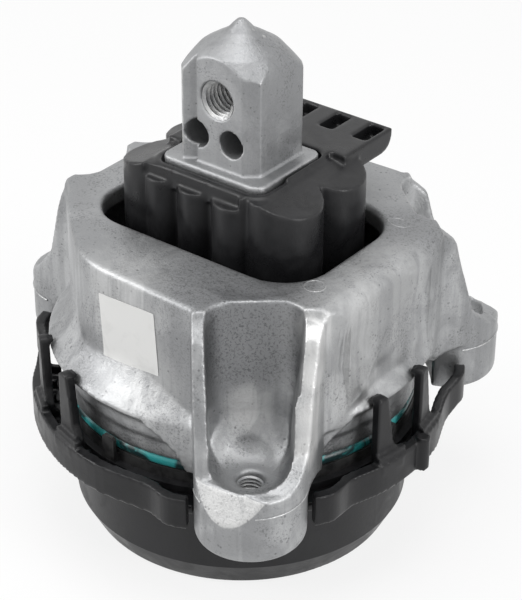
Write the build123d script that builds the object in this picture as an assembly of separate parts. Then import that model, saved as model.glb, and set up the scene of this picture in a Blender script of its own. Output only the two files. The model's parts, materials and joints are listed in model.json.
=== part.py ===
from build123d import *
import os
from math import acos, atan2, cos, degrees, hypot, radians, sin, tan

os.makedirs("parts", exist_ok=True)

# Hydraulic engine mount, millimetres. The origin is the centre of the can's flat underside,
# +Z runs up the mount's axis, and the core's tapped face looks along -Y.

# Small working gaps
FIT_GAP = 0.1
SLIDE_GAP = 0.4
CAST_GAP = 1.0

# Base can
can_radius = 53.2
can_wall = 2.5
can_foot_radius = 48.6
can_foot_height = 9.0
can_flange_radius = 57.6
can_flange_thickness = 2.5
can_shoulder_radius = 46.6
can_shoulder_drop = 5.6
can_foot_round = 2.0

# Retaining ring
ring_room = 5.9
ring_bottom = 35.5
ring_height = 10.0
ring_floor = 3.0
ring_wall = 3.4
ring_flare = 4.2
ring_flare_angle = 3.5
ring_flare_run = 9.0
ring_raise = 6.2
ring_raise_angle = 6.0
ring_raise_run = 13.0
ring_rib_pitch = 8.0
ring_rib_height = 3.6
ring_rib_thickness = 1.6
ring_lug_radius = 2.1
ring_lug_rise = 1.5
ring_lug_angle = 3.7
ring_hoop_radius = 58.2
ring_end_angle = 15.5
hook_angles = (-8.5, 10.5, 106.7, 127.0, -106.7, -127.0)
hook_foot_width = 9.0
hook_top_width = 4.2
hook_thickness = 3.0
hook_top = 67.4
hook_catch = 1.2
hook_nose_height = 1.9
hook_bar_width = 11.5
hook_bar_height = 2.2
hook_bar_depth = 2.2

# Sealed stack between the can and the housing
track_rim_thickness = 3.7
track_radius = 55.2
seal_height = 3.3
seal_width = 3.8
seal_bulge = 0.6
track_upper_rise = 1.6
track_groove_radius = 33.0
track_groove_width = 9.0
track_groove_depth = 2.2
track_port_radius = 3.6
track_start = 20.0
track_end = 340.0
track_fit_gap = 0.1
decoupler_radius = 24.0
decoupler_thickness = 2.6
decoupler_rib = 1.0
cage_slot_count = 10
cage_slot_radius = 2.4
cage_slot_length = 10.0
cage_slot_pitch_radius = 14.5
clip_angles = (0.0, 96.0, 132.0, -96.0, -132.0)
clip_width = 5.0
clip_inner = 56.2
clip_outer = 57.4
clip_foot_height = 2.5
clip_top = 49.5
bellows_thickness = 2.0
bellows_bead_height = 4.0
bellows_depth = 15.0
bellows_roll_radius = 41.0

# Housing casting
bore_radius = 51.0
bore_top = 60.0
bore_ledge = 2.4
flange_wall = 5.0
flange_line = 6.0
flange_groove = 0.7
skirt_radius = 60.1
skirt_edge = 63.9
skirt_band = 1.9
skirt_ledge = 1.6
skirt_step_radius = 57.5
skirt_step_height = 61.0
skirt_neck_radius = 50.8
skirt_neck_height = 82.0
skirt_neck_bow = 1.4
top_height = 103.0
top_thickness = 6.5
side_wall = 5.5
side_wall_x = 56.0
side_wall_y = 22.5
shoulder_x = 53.5
shoulder_y = 31.0
shoulder_radius = 5.0
front_wall_right_x = 23.0
front_wall_y = 52.8
front_wall_left_x = -20.5
front_wall_left_y = 50.8
left_wall_x = -55.0
left_wall_y = 20.0
left_corner_radius = 30.0
left_root_radius = 10.0
roll_radius = 5.5
roll_half_length = 33.0
crisp_edge_radius = 1.3
opening_length = 80.6
opening_width = 54.0
opening_corner_radius = 15.0
opening_edge = 1.2

# Ears: direction, underside, height of the screw's mouth, side of the wide flank, height of the
# arch under the tower, and where the skirt's drawn-down edge starts: angle, height, radius
ears = {
    "front": (-49.5, 34.0, 52.3, 1, 50.0, (38.8, 41.0, 22.0)),
    "right": (49.5, 41.0, 57.6, -1, 57.6, (40.5, 35.5, 29.0)),
    "left": (180.0, 41.0, 56.6, 0, 53.0, (40.5, 35.5, 29.0)),
}
ear_overhang = 6.4
ear_radius = 16.5
ear_screw_radius = 4.0
ear_screw_chamfer = 0.5
ear_foot_fillet = 1.8
ear_gap_top = 56.0
wide_root_reach = 58.0
wide_root_side = 21.3
arch_sag = 4.4
arch_start = 54.0
arch_end = 74.0
web_reach = 31.0
web_step = 2.8

# Outer edge of an ear's ribs: reach and depth below the top plate, then reach and height above
# the mouth of the screw's hole
rib_upper = ((57.5, 2.3), (62.5, 7.0), (64.5, 15.0), (67.6, 25.3))
left_rib_upper = ((57.5, 3.2), (59.4, 6.7), (61.2, 12.0), (65.2, 29.0))
rib_lower = ((70.0, 11.0), (72.5, 8.2), (75.5, 5.6), (79.0, 3.4), (86.0, 2.6))
facet_rise = 3.2
facet_slope = 63.0
facet_inner = (70.5, 16.0)
facet_outer = (82.0, -2.9)

# Room for the screw's head and socket
scoop_reach = 51.8
scoop_back_radius = 15.0
scoop_corner = 8.0
scoop_floor = 5.0
scoop_bowl = 7.0
scoop_bowl_widening = 0.4
scoop_narrow_side = 13.0
scoop_wide_side = 16.0

# Core block
plate_length = 37.4
plate_width = 30.8
plate_top = 123.3
plate_thickness = 4.4
plate_corner = 3.4
plate_edge = 0.7
block_x = 14.1
block_back_y = 13.9
block_front_y = -12.2
block_back_chamfer = 2.6
block_chamfer_x = 4.1
block_chamfer_y = 3.4
block_shoulder = 152.4
block_arch_radius = 9.5
block_crown = 161.5
crown_radius = 7.0
crown_fall_radius = 12.2
crown_fall_height = 158.2
crown_skirt_radius = 18.5
crown_skirt_height = 151.0
nipple_top = 166.6
nipple_flank = ((7.0, 161.4), (4.2, 163.2), (2.4, 165.2), (1.2, 166.4), (0.7, nipple_top))
core_screw_radius = 6.0
core_screw_height = 145.0
core_screw_x = 0.4
core_screw_chamfer = 0.3
pocket_radius = 4.3
pocket_height = 132.3
pocket_spacing = 12.6
pocket_mid_x = -0.7
pocket_depth = 14.0
groove_left_x = -11.3
groove_root_x = -7.4
groove_root_y = -10.2
column_front_y = -13.2
stem_top_length = 26.0
stem_top_width = 20.0
stem_bottom_radius = 9.0
stem_bottom = 78.0

# Rubber body
lip_height = 1.5
lip_width = 3.3
lip_groove = 0.9
lip_groove_depth = 1.6
lip_step = 0.8
lip_round = 1.2
lobe_step_height = 117.2
lobe_step_left = -21.5
lobe_step_right = 14.5
roof_edge_height = 117.6
roof_edge_reach = 33.8
tower_bottom = 86.0
lobe_front_y = 14.2
lobes = ((-17.0, 6.7), (-4.1, 7.0), (10.0, 7.8))
corner_lobes = ((22.0, -8.2, 11.8), (22.4, 13.6, 11.2), (-24.2, -9.6, 10.7), (-24.2, 10.4, 10.7))
body_length = 50.0
body_width = 31.0
spring_waist_radius = 27.0
spring_foot_radius = 45.0
spring_dome_height = 70.0
spring_dome_radius = 13.0
insert_thickness = 2.4
insert_foot = 3.5

# Stop tongue moulded on the rubber body
tongue_left = -24.8
tongue_right = 25.5
tongue_reach = 42.0
tongue_left_start = -4.2
tongue_right_start = 17.4
tongue_top = 123.0
tongue_thickness = 7.0
tongue_corner = 5.0
tongue_pocket_width = 5.3
tongue_pocket_length = 10.3
tongue_pocket_pitch = 12.45
tongue_pocket_first_x = 21.3
tongue_pocket_depth = 4.6
tongue_rim = 1.7
tongue_pocket_count = 4

# Heights that follow from the stack
can_flange_bottom = ring_bottom + ring_floor
can_top = can_flange_bottom + can_flange_thickness
can_shoulder_height = can_top - can_shoulder_drop
seal_bottom = can_top + track_rim_thickness
housing_bottom = seal_bottom + seal_height
track_upper_top = housing_bottom + track_upper_rise
ring_top = ring_bottom + ring_height
can_inner_radius = can_radius - can_wall
ring_radius = skirt_radius + ring_room
ring_flare_radius = ring_radius + ring_flare
ear_reach = skirt_radius + ear_overhang
ear_gap_radius = skirt_radius
flange_radius = bore_radius + flange_wall
lip_top = plate_top - lip_height
plate_bottom = plate_top - plate_thickness


def polar(radius, angle):
    return (radius * cos(radians(angle)), radius * sin(radians(angle)))


def disc(radius, bottom, top):
    """Plain cylinder on the mount's axis."""
    return Pos(0, 0, bottom) * extrude(Circle(radius), top - bottom)


def tube(outer, inner, bottom, top):
    """Plain ring on the mount's axis."""
    return Pos(0, 0, bottom) * extrude(Circle(outer) - Circle(inner), top - bottom)


def revolved(*points):
    """Solid turned about the mount's axis from (radius, height) corners."""
    return revolve(Plane.XZ * make_face(Polyline(*points, close=True)), Axis.Z)


def sector(radius, start, end, bottom, top):
    """Pie slice between two directions, given in degrees."""
    middle = (start + end) / 2
    outline = make_face(
        [
            Line((0, 0), polar(radius, start)),
            ThreePointArc(polar(radius, start), polar(radius, middle), polar(radius, end)),
            Line(polar(radius, end), (0, 0)),
        ]
    )
    return Pos(0, 0, bottom) * extrude(outline, top - bottom)


def arc_wall(outer, inner, start, end, bottom, top):
    """Piece of a ring between two directions."""
    return sector(outer, start, end, bottom, top) - disc(inner, bottom - 1, top + 1)


def turned(angle):
    """Frame whose X axis points from the mount's axis in the given direction."""
    return Rot(0, 0, angle)


# Housing


def wall_outline():
    """Plan of the walls: a flat side along +X, two front walls and soft corners to the left."""
    corners = (
        (side_wall_x, side_wall_y, shoulder_radius),
        (shoulder_x, shoulder_y, shoulder_radius),
        (front_wall_right_x, front_wall_y, shoulder_radius),
        (front_wall_left_x, front_wall_left_y, left_corner_radius),
        (left_wall_x, left_wall_y, left_corner_radius),
    )
    corners += tuple((x, -y, radius) for x, y, radius in reversed(corners))
    outline = make_face(Polyline(*[(x, y) for x, y, _ in corners], close=True))
    for x, y, radius in corners:
        corner = outline.vertices().sort_by_distance((x, y, 0))[0]
        outline = fillet(corner, radius)
    return outline


def ear_plan(wide_side):
    """Plan of an ear along +X: a round end, and a flank that widens inwards on the wide side."""
    reach = wide_root_reach - ear_reach
    to_root = hypot(reach, wide_root_side)
    touch = degrees(atan2(wide_root_side, reach) - acos(ear_radius / to_root))
    flanks = []
    for side in (-1, 1):
        if side == wide_side:
            x, y = polar(ear_radius, touch)
            flanks.append([(wide_root_reach, side * wide_root_side), (ear_reach + x, side * y)])
        else:
            flanks.append([(wide_root_reach, side * ear_radius), (ear_reach, side * ear_radius)])
    lower, upper = flanks
    inner = left_wall_y
    return make_face(
        [
            Polyline((inner, lower[0][1]), lower[0], lower[1]),
            ThreePointArc(lower[1], (ear_reach + ear_radius, 0), upper[1]),
            Polyline(upper[1], upper[0], (inner, upper[0][1])),
            Line((inner, upper[0][1]), (inner, lower[0][1])),
        ]
    )


def castings_plan():
    """Plan of walls and ears as one outline, with soft roots beside the left ear."""
    plan = Sketch() + wall_outline()
    for angle, _, _, wide_side, _, _ in ears.values():
        plan += turned(angle) * ear_plan(wide_side)
    roots = [
        vertex
        for vertex in plan.vertices()
        if vertex.X < left_wall_x + shoulder_radius and abs(abs(vertex.Y) - ear_radius) < FIT_GAP
        and vertex.X > -ear_reach + 1.0
    ]
    return fillet(roots, left_root_radius) if roots else plan


def housing_shell():
    """Walls and ear towers under a flat top that rolls over along the flat side."""
    height = top_height - skirt_step_height
    walls = Pos(0, 0, skirt_step_height) * extrude(castings_plan(), height)
    walls = fillet(walls.edges().group_by(Axis.Z)[-1], crisp_edge_radius)
    roll_start = side_wall_x - roll_radius
    middle = polar(roll_radius, 45)
    over = make_face(
        [
            ThreePointArc(
                (roll_start, top_height),
                (roll_start + middle[0], top_height - roll_radius + middle[1]),
                (side_wall_x, top_height - roll_radius),
            ),
            Polyline(
                (side_wall_x, top_height - roll_radius),
                (side_wall_x + roll_radius, top_height - roll_radius),
                (side_wall_x + roll_radius, top_height + 1.0),
                (roll_start, top_height + 1.0),
                (roll_start, top_height),
            ),
        ]
    )
    return walls - extrude(Plane.XZ * over, roll_half_length, both=True)


def housing_skirt():
    """Turned lower part: flange, step, the skirt's band and its flare into the walls."""
    line_height = housing_bottom + flange_line
    band_top = skirt_edge + skirt_band
    ledge_radius = skirt_radius - skirt_ledge
    neck_middle = (
        (ledge_radius + skirt_neck_radius) / 2 - skirt_neck_bow,
        (band_top + skirt_neck_height) / 2 - skirt_neck_bow,
    )
    profile = make_face(
        [
            Polyline(
                (0, skirt_neck_height),
                (0, housing_bottom),
                (flange_radius - flange_groove, housing_bottom),
                (flange_radius - flange_groove, line_height),
                (flange_radius, line_height + flange_groove),
                (flange_radius, skirt_step_height - skirt_ledge),
                (skirt_step_radius, skirt_step_height),
                (skirt_radius, skirt_edge - flange_groove),
                (skirt_radius, skirt_edge),
                (ledge_radius, band_top),
            ),
            ThreePointArc(
                (ledge_radius, band_top), neck_middle, (skirt_neck_radius, skirt_neck_height)
            ),
            Line((skirt_neck_radius, skirt_neck_height), (0, skirt_neck_height)),
        ]
    )
    return revolve(Plane.XZ * profile, Axis.Z)


def skirt_web(angle, bottom, edge):
    """Skirt drawn down to an ear's flanks in two layers, each ending in an arch on both sides."""
    offset_angle, height, radius = edge
    layers = (
        (skirt_radius, skirt_step_radius - FIT_GAP, 0.0),
        (skirt_step_radius, bore_radius + 1.0, web_step),
    )
    web = None
    for outer, inner, drop in layers:
        foot = max(bottom - drop, housing_bottom)
        layer = arc_wall(outer, inner, angle - web_reach, angle + web_reach, foot, skirt_edge)
        reach = 2 * radius + 10.0
        for side in (-1, 1):
            below = Pos(0, side * (reach / 2 - radius), -radius) * Box(30.0, reach, 2 * radius)
            arch = Rot(0, 90, 0) * Cylinder(radius, 30.0) + below
            layer -= turned(angle + side * offset_angle) * Pos(skirt_radius, 0, height - drop) * arch
        web = layer if web is None else web + layer
    return web


def rib_points(angle, seat):
    """Outer edge of an ear's ribs from the top plate to the rim: reach and height."""
    upper = left_rib_upper if angle == ears["left"][0] else rib_upper
    return [(reach, top_height - drop) for reach, drop in upper] + [
        (reach, seat + rise) for reach, rise in rib_lower
    ]


def rib_cut(angle, seat):
    """Everything outside the ribs and above the ear's rim."""
    edge = rib_points(angle, seat)
    beyond = edge[-1][0] + ear_radius
    face = make_face(
        Polyline(
            (edge[0][0] - crisp_edge_radius, top_height + 1.0),
            *edge,
            (beyond, edge[-1][1]),
            (beyond, top_height + 1.0),
            close=True,
        )
    )
    return extrude(Plane.XZ * face, 2 * ear_radius, both=True)


def arch_cut(arch_top):
    """Room under an ear's tower: an arch seen along the flanks."""
    foot = arch_top - arch_sag
    face = make_face(
        [
            ThreePointArc((arch_start, foot), ((arch_start + arch_end) / 2, arch_top), (arch_end, foot)),
            Polyline((arch_end, foot), (arch_end, 0), (arch_start, 0), (arch_start, foot)),
        ]
    )
    return extrude(Plane.XZ * face, 2 * ear_radius, both=True)


def tower_root(wide_side, arch_top):
    """Lower end of an ear's tower, between the drafted walls and the arch under it."""
    depth = ear_radius
    root = Pos(0, 0, skirt_step_height - depth) * extrude(ear_plan(wide_side), depth + 1.0)
    return root - arch_cut(arch_top)


def ear_boss(bottom, seat):
    boss = Pos(ear_reach, 0, bottom) * extrude(Circle(ear_radius), seat + rib_lower[0][1] - bottom)
    return fillet(boss.edges().group_by(Axis.Z)[0], ear_foot_fillet)


def ear_scoop(seat, wide_side):
    """Room for the screw's head and its socket: a bowl round the screw, open towards the top."""
    half = scoop_floor + scoop_bowl
    top = top_height + 2.0
    upper_half = {side: scoop_wide_side if side == wide_side else scoop_narrow_side for side in (-1, 1)}
    bend = polar(scoop_bowl, -45)
    front = make_face(
        [
            Line((-scoop_floor, seat), (scoop_floor, seat)),
            ThreePointArc(
                (scoop_floor, seat),
                (scoop_floor + bend[0], seat + scoop_bowl + bend[1]),
                (half, seat + scoop_bowl),
            ),
            Polyline((half, seat + scoop_bowl), (upper_half[1], top), (-upper_half[-1], top)),
            Line((-upper_half[-1], top), (-half, seat + scoop_bowl)),
            ThreePointArc(
                (-half, seat + scoop_bowl),
                (-scoop_floor - bend[0], seat + scoop_bowl + bend[1]),
                (-scoop_floor, seat),
            ),
        ]
    )
    back = polar(scoop_back_radius, -135)
    side = make_face(
        [
            Polyline((ear_reach, seat), (ear_reach, top), (scoop_reach, top)),
            Line((scoop_reach, top), (scoop_reach, seat + scoop_back_radius)),
            ThreePointArc(
                (scoop_reach, seat + scoop_back_radius),
                (scoop_reach + scoop_back_radius + back[0], seat + scoop_back_radius + back[1]),
                (scoop_reach + scoop_back_radius, seat),
            ),
            Line((scoop_reach + scoop_back_radius, seat), (ear_reach, seat)),
        ]
    )
    channel = extrude(Plane.XZ * side, 2 * ear_radius, both=True)
    channel &= extrude(Plane.YZ * front, ear_reach, dir=(1, 0, 0))
    rounded = Pos(scoop_reach + 2 * ear_radius, 0, seat - 1.0) * extrude(
        RectangleRounded(4 * ear_radius, upper_half[-1] + upper_half[1], scoop_corner), top - seat + 2.0
    )
    shift = (upper_half[1] - upper_half[-1]) / 2
    channel &= Pos(0, shift, 0) * rounded
    bowl = Pos(ear_reach, 0, seat) * extrude(Circle(half + scoop_bowl_widening), top - seat)
    bowl = fillet(bowl.edges().group_by(Axis.Z)[0], scoop_bowl - FIT_GAP)
    return channel + bowl


def facet_cut(seat, wide_side):
    """Steep facet that takes off the rim on the side away from the wide flank."""
    start = Vector(facet_inner[0], -wide_side * facet_inner[1], seat + facet_rise)
    end = Vector(facet_outer[0], -wide_side * facet_outer[1], seat + facet_rise)
    along = (end - start).normalized()
    outwards = Vector(along.Y, -along.X, 0) * wide_side
    drop = ear_radius * tan(radians(facet_slope))
    face = make_face(
        Polyline((0, 0), (0, top_height), (ear_radius, top_height), (ear_radius, -drop), close=True)
    )
    plane = Plane(origin=start - along, x_dir=outwards, z_dir=along * -wide_side)
    return extrude(plane * face, -wide_side * 4 * ear_radius)


def ear_screw_hole(bottom, seat):
    hole = Pos(0, 0, bottom - 1.0) * extrude(Circle(ear_screw_radius), seat - bottom + 2.0)
    mouth = Pos(0, 0, seat - ear_screw_chamfer) * extrude(
        Circle(ear_screw_radius), ear_screw_chamfer + 0.01, taper=-45
    )
    return Pos(ear_reach, 0, 0) * (hole + mouth)


def ear_root_cut():
    """Clearance under the ears' roots, where the retaining ring runs behind the bosses."""
    lowest = min(ear[1] for ear in ears.values()) - 1.0
    gap = tube(ear_gap_radius, flange_radius, housing_bottom - 0.01, ear_gap_top)
    return disc(ear_gap_radius, lowest, housing_bottom) + gap


def cavity():
    """Inside of the casting above the bore: the walls' outline set in, kept off the scoops."""
    inner = offset(wall_outline(), -side_wall)
    room = Pos(0, 0, bore_top) * extrude(inner, top_height - top_thickness - bore_top)
    room &= disc(bore_radius - bore_ledge, bore_top, top_height)
    backing_width = 2 * (scoop_wide_side + side_wall)
    for angle, _, _, _, _, _ in ears.values():
        backing = Pos(scoop_reach - side_wall + 20.0, 0, (bore_top + top_height) / 2) * Box(
            40.0, backing_width, top_height - bore_top + 2.0
        )
        room -= turned(angle) * backing
    return room


def opening():
    hole = Pos(0, 0, top_height - 20.0) * extrude(
        RectangleRounded(opening_length, opening_width, opening_corner_radius), 20.0
    )
    flare = Pos(0, 0, top_height - opening_edge) * extrude(
        RectangleRounded(opening_length, opening_width, opening_corner_radius), opening_edge + 0.5, taper=-40
    )
    return hole + flare


def make_housing():
    body = housing_shell() + housing_skirt()
    for angle, bottom, seat, wide_side, arch_top, _ in ears.values():
        body += turned(angle) * (tower_root(wide_side, arch_top) + ear_boss(bottom, seat))
        body -= turned(angle) * rib_cut(angle, seat)
    body -= ear_root_cut()
    for angle, bottom, seat, wide_side, arch_top, edge in ears.values():
        web_bottom = housing_bottom if angle == ears["front"][0] else arch_top
        body += skirt_web(angle, web_bottom, edge)
        body -= turned(angle) * ear_scoop(seat, wide_side)
        if wide_side:
            body -= turned(angle) * facet_cut(seat, wide_side)
        body -= turned(angle) * ear_screw_hole(bottom, seat)
    body -= disc(bore_radius, housing_bottom - 1.0, bore_top)
    body -= cavity()
    body -= opening()
    return body


# Core


def core_stem():
    top = Pos(0, 0, plate_bottom) * RectangleRounded(stem_top_length, stem_top_width, 4.0)
    bottom = Pos(0, 0, stem_bottom) * Circle(stem_bottom_radius)
    return fillet(loft([top, bottom]).edges().group_by(Axis.Z)[0], 3.0)


def block_outline():
    return make_face(
        Polyline(
            (block_x, block_front_y + block_chamfer_y),
            (block_x - block_chamfer_x, block_front_y),
            (groove_root_x + 0.4, block_front_y),
            (groove_root_x, groove_root_y),
            (groove_left_x, column_front_y),
            (-block_x, column_front_y + block_x + groove_left_x),
            (-block_x, block_back_y - block_back_chamfer),
            (-block_x + block_back_chamfer, block_back_y),
            (block_x - block_back_chamfer, block_back_y),
            (block_x, block_back_y - block_back_chamfer),
            close=True,
        )
    )


def block_envelope():
    """Arched shoulders seen from the front, crossed with the turned crown and its nipple."""
    arch_start = block_x - block_arch_radius
    arch = make_face(
        [
            Polyline(
                (-arch_start, block_crown),
                (arch_start, block_crown),
            ),
            ThreePointArc(
                (arch_start, block_crown),
                (arch_start + block_arch_radius * cos(radians(45)), block_shoulder + 6.4),
                (block_x + 0.01, block_shoulder),
            ),
            Polyline(
                (block_x + 0.01, block_shoulder),
                (block_x + 1.0, plate_top - 1.0),
                (-block_x - 1.0, plate_top - 1.0),
                (-block_x - 0.01, block_shoulder),
            ),
            ThreePointArc(
                (-block_x - 0.01, block_shoulder),
                (-arch_start - block_arch_radius * cos(radians(45)), block_shoulder + 6.4),
                (-arch_start, block_crown),
            ),
        ]
    )
    crown = revolved(
        (0, plate_top - 1.0),
        (crown_skirt_radius + 1.0, plate_top - 1.0),
        (crown_skirt_radius, crown_skirt_height),
        (crown_fall_radius, crown_fall_height),
        (crown_radius, block_crown),
        (0, block_crown),
    )
    return extrude(Plane.XZ * arch, 30.0, both=True) & crown


def nipple():
    """Blunt cone of cast-on metal at the very top."""
    foot = block_crown - 2.0
    profile = make_face(
        [
            Polyline(*nipple_flank, (0, nipple_flank[-1][1]), (0, foot)),
            Polyline((0, foot), (nipple_flank[0][0], foot), nipple_flank[0]),
        ]
    )
    return revolve(Plane.XZ * profile, Axis.Z)


def make_core():
    plate = Pos(0, 0, plate_bottom) * extrude(
        RectangleRounded(plate_length, plate_width, plate_corner), plate_thickness
    )
    plate = fillet(plate.edges().group_by(Axis.Z)[-1], plate_edge)
    block = Pos(0, 0, plate_top - 0.5) * extrude(block_outline(), nipple_top - plate_top)
    core = plate + (block & block_envelope()) + nipple() + core_stem()
    face = Plane(origin=(0, column_front_y - 1.0, 0), x_dir=(1, 0, 0), z_dir=(0, -1, 0))
    bore_length = block_back_y - column_front_y + 2.0
    core -= face * Pos(core_screw_x, core_screw_height, -bore_length) * extrude(
        Circle(core_screw_radius), bore_length
    )
    for side in (-1, 1):
        x = pocket_mid_x + side * pocket_spacing / 2
        depth = block_front_y - (column_front_y - 1.0) + pocket_depth
        core -= face * Pos(x, pocket_height, -depth) * extrude(Circle(pocket_radius), depth)
    for y, turn in ((block_front_y, 1), (block_back_y, -1)):
        mouth = Plane(origin=(core_screw_x, y, core_screw_height), x_dir=(1, 0, 0), z_dir=(0, -turn, 0))
        core -= mouth * Pos(0, 0, -core_screw_chamfer) * extrude(
            Circle(core_screw_radius), core_screw_chamfer + 0.01, taper=-45
        )
    return core


# Rubber body with its stop tongue


def lobed_block():
    block = Pos(0, 0, tower_bottom) * extrude(
        Rectangle(body_length, body_width), plate_top - tower_bottom
    )
    for x, radius in lobes:
        for side in (-1, 1):
            block += Pos(x, side * lobe_front_y, tower_bottom) * extrude(
                Circle(radius), plate_top - tower_bottom
            )
    for x, y, radius in corner_lobes:
        block += Pos(x, y, tower_bottom) * extrude(Circle(radius), plate_top - tower_bottom)
    return block


def roof():
    """Envelope of the lobed block's top: it slopes down from the lip to the tops of the lobes."""
    half = plate_length / 2 + lip_width
    slope = make_face(
        Polyline(
            (-half, lip_top - lip_step),
            (half, lip_top - lip_step),
            (roof_edge_reach, roof_edge_height),
            (roof_edge_reach + 5.0, roof_edge_height - 1.0),
            (roof_edge_reach + 5.0, tower_bottom - 1.0),
            (-roof_edge_reach - 5.0, tower_bottom - 1.0),
            (-roof_edge_reach - 5.0, roof_edge_height - 1.0),
            (-roof_edge_reach, roof_edge_height),
            close=True,
        )
    )
    envelope = extrude(Plane.XZ * slope, 40.0, both=True)
    step_width = lobe_step_right - lobe_step_left
    for side in (-1, 1):
        envelope -= Pos(
            lobe_step_left + step_width / 2,
            side * (plate_width / 2 + lip_width + 20.0),
            lobe_step_height + 10.0,
        ) * Box(step_width, 40.0, 20.0)
    return envelope


def lip():
    """Raised rim of rubber round the core's plate."""
    wall = Pos(0, 0, lobe_step_height - 2.0) * extrude(
        RectangleRounded(
            plate_length + 2 * lip_width, plate_width + 2 * lip_width, plate_corner + lip_width
        ),
        lip_top - lobe_step_height + 2.0,
    )
    return fillet(wall.edges().group_by(Axis.Z)[-1], lip_round)


def spring_cone():
    """Load-bearing rubber between the core's stem and the ring in the housing's bore."""
    foot = track_upper_top + insert_foot
    return revolved(
        (0, tower_bottom),
        (spring_waist_radius, tower_bottom),
        (spring_foot_radius, bore_top + CAST_GAP),
        (spring_foot_radius, bore_top - CAST_GAP),
        (bore_radius - FIT_GAP - insert_thickness, bore_top - 2 * CAST_GAP),
        (bore_radius - FIT_GAP - insert_thickness, foot - insert_thickness),
        (spring_foot_radius, foot - insert_thickness),
        (spring_dome_radius, spring_dome_height),
        (0, spring_dome_height),
    )


def tongue():
    width = tongue_right - tongue_left
    middle_y = (tongue_right_start + tongue_reach) / 2
    slab = Pos(tongue_left + width / 2, middle_y, tongue_top - tongue_thickness / 2) * Box(
        width, tongue_reach - tongue_right_start, tongue_thickness
    )
    far_low = slab.edges().filter_by(Axis.X).sort_by(Axis.Z)[:2].sort_by(Axis.Y)[-1]
    slab = fillet(far_low, tongue_corner)
    wing_width = plate_length / 2 + lip_width - tongue_left - 2.0
    slab += Pos(
        tongue_left + wing_width / 2,
        (tongue_left_start + tongue_right_start) / 2 + 1.0,
        tongue_top - tongue_thickness / 2,
    ) * Box(wing_width, tongue_right_start - tongue_left_start + 2.0, tongue_thickness)
    for number in range(tongue_pocket_count):
        x = tongue_pocket_first_x - number * tongue_pocket_pitch
        y = tongue_reach - tongue_rim - tongue_pocket_length / 2
        pocket = Pos(x, y, tongue_top - tongue_pocket_depth / 2 + 0.5) * Box(
            tongue_pocket_width, tongue_pocket_length, tongue_pocket_depth + 1.0
        )
        slab -= fillet(pocket.edges().filter_by(Axis.Y).group_by(Axis.Z)[0], 1.2)
    return slab


def make_rubber_spring():
    body = (lobed_block() & roof()) + lip() + spring_cone() + tongue()
    plate_well = Pos(0, 0, lip_top - lip_groove_depth) * extrude(
        RectangleRounded(
            plate_length + 2 * lip_groove, plate_width + 2 * lip_groove, plate_corner + lip_groove
        ),
        20.0,
    )
    plate_bed = Pos(0, 0, plate_bottom) * extrude(
        RectangleRounded(plate_length, plate_width, plate_corner), plate_thickness + 1.0
    )
    return body - plate_well - plate_bed - core_stem()


def make_spring_insert():
    """Steel sleeve bonded round the spring's foot and pressed into the housing's bore."""
    outer = bore_radius - FIT_GAP
    inner = outer - insert_thickness
    sleeve = tube(outer, inner, track_upper_top, bore_top)
    return chamfer(sleeve.edges().group_by(Axis.Z)[0].sort_by(Edge.length)[-1], 0.6)


# Retaining ring with its snap hooks


def band_radius(angle, start, end):
    """Outer radius of the band: it steps outwards softly beside the ears."""
    from_end = min(angle - start, end - angle)
    part = min(max((from_end - ring_flare_angle) / ring_flare_run, 0.0), 1.0)
    return ring_flare_radius + (ring_radius - ring_flare_radius) * part * part * (3 - 2 * part)


def ring_band(start, end):
    """Outer wall of the ring between two ears."""
    flare_end = ring_flare_angle + ring_flare_run
    near = [ring_flare_angle + ring_flare_run * step / 4 for step in range(5)]
    angles = [start, start + ring_flare_angle / 2] + [start + step for step in near]
    angles += [(start + flare_end + (end - start - 2 * flare_end) * step / 6) for step in range(1, 6)]
    angles += [end - step for step in reversed(near)] + [end - ring_flare_angle / 2, end]
    outer = [polar(band_radius(angle, start, end), angle) for angle in angles]
    inner = [polar(band_radius(angle, start, end) - ring_wall, angle) for angle in angles]
    outline = make_face(
        [
            Spline(*outer),
            Line(outer[-1], inner[-1]),
            Spline(*reversed(inner)),
            Line(inner[0], outer[0]),
        ]
    )
    return Pos(0, 0, ring_bottom) * extrude(outline, ring_height + ring_raise)


def raised_end_cuts(end, side):
    """Cutters above and below the band where it climbs towards an ear's high flank."""
    turn = end - side * (ring_raise_angle + ring_raise_run / 2)
    half_run = ring_radius * sin(radians(ring_raise_run / 2))
    far = 2 * half_run
    above = Polyline(
        (-side * far, ring_top),
        (-side * half_run, ring_top),
        (side * half_run, ring_top + ring_raise),
        (side * half_run, ring_top + 2 * ring_raise),
        (-side * far, ring_top + 2 * ring_raise),
        close=True,
    )
    below = Polyline(
        (-side * half_run, ring_bottom),
        (side * half_run, ring_bottom + ring_raise),
        (side * 3 * half_run, ring_bottom + ring_raise),
        (side * 3 * half_run, ring_bottom - 1.0),
        (-side * half_run, ring_bottom - 1.0),
        close=True,
    )
    face = Plane(origin=(ring_radius / 2, 0, 0), x_dir=(0, 1, 0), z_dir=(1, 0, 0))
    return [turned(turn) * extrude(face * make_face(line), ring_radius) for line in (above, below)]


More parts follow.
